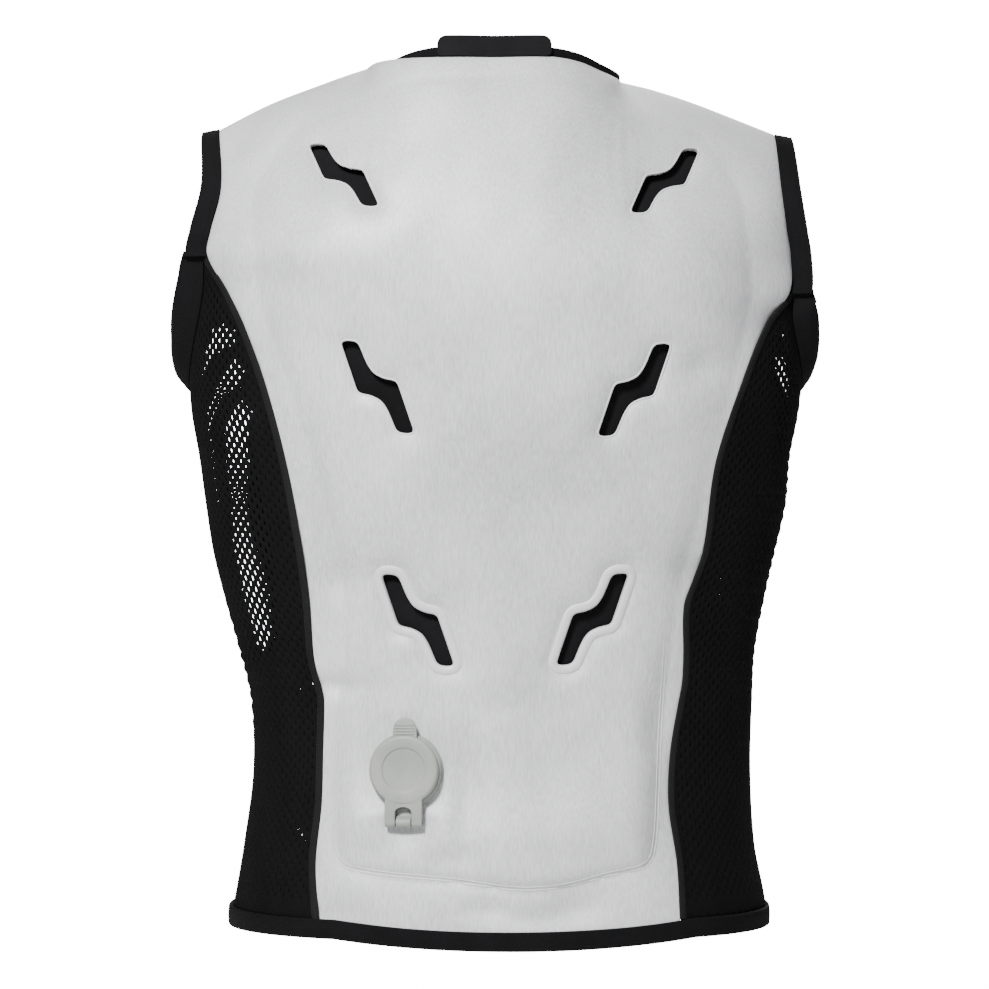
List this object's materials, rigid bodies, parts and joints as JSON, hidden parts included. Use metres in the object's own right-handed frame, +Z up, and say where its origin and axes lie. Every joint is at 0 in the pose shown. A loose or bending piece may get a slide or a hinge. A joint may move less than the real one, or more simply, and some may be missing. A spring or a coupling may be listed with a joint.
{
  "type": "cooling vest",
  "caption": "Sleeveless water cooling vest in its worn form: a vented silver back with a capped filler valve, black mesh sides and black bands.",
  "frame": {"origin": "between the shoulders, level with the neck side of the shoulder line, where the wearer's shoulders carry the vest", "axes": "+Z up, +Y to the front of the wearer, +X to the right in a view of the back"},
  "size_m": [0.4263, 0.2393, 0.5832],
  "materials": {
    "silver_shell": "light silver grey coated fabric, matt with a faint upright grain",
    "black_lining": "flat black knitted lining",
    "black_mesh": "black perforated polyester mesh",
    "black_band": "black folded elastic band, matt",
    "black_tab": "black woven tab with a soft sheen",
    "black_closure": "black woven tape with a moulded coil",
    "valve_plastic": "light greenish grey moulded soft plastic",
    "pin_metal": "plain drawn steel pin"
  },
  "bodies": {
    "root": {"back_panel": "silver_shell", "front_panel_left": "silver_shell", "front_panel_right": "silver_shell", "back_lining": "black_lining", "side_mesh_left": "black_mesh", "side_mesh_right": "black_mesh", "armhole_band_left": "black_band", "armhole_band_right": "black_band", "neck_band": "black_band", "nape_tab": "black_tab", "hem_band": "black_band", "front_closure": "black_closure", "valve_base": "valve_plastic", "hinge_pin": "pin_metal"},
    "cap": {"valve_cap": "valve_plastic"}
  },
  "joints": [
    {"name": "cap_hinge", "type": "hinge", "parent": "root", "child": "cap", "pos_m": [-0.05709, -0.10527, -0.49345], "axis": [0.988, -0.1543, 0], "range_deg": [0, 120]}
  ]
}
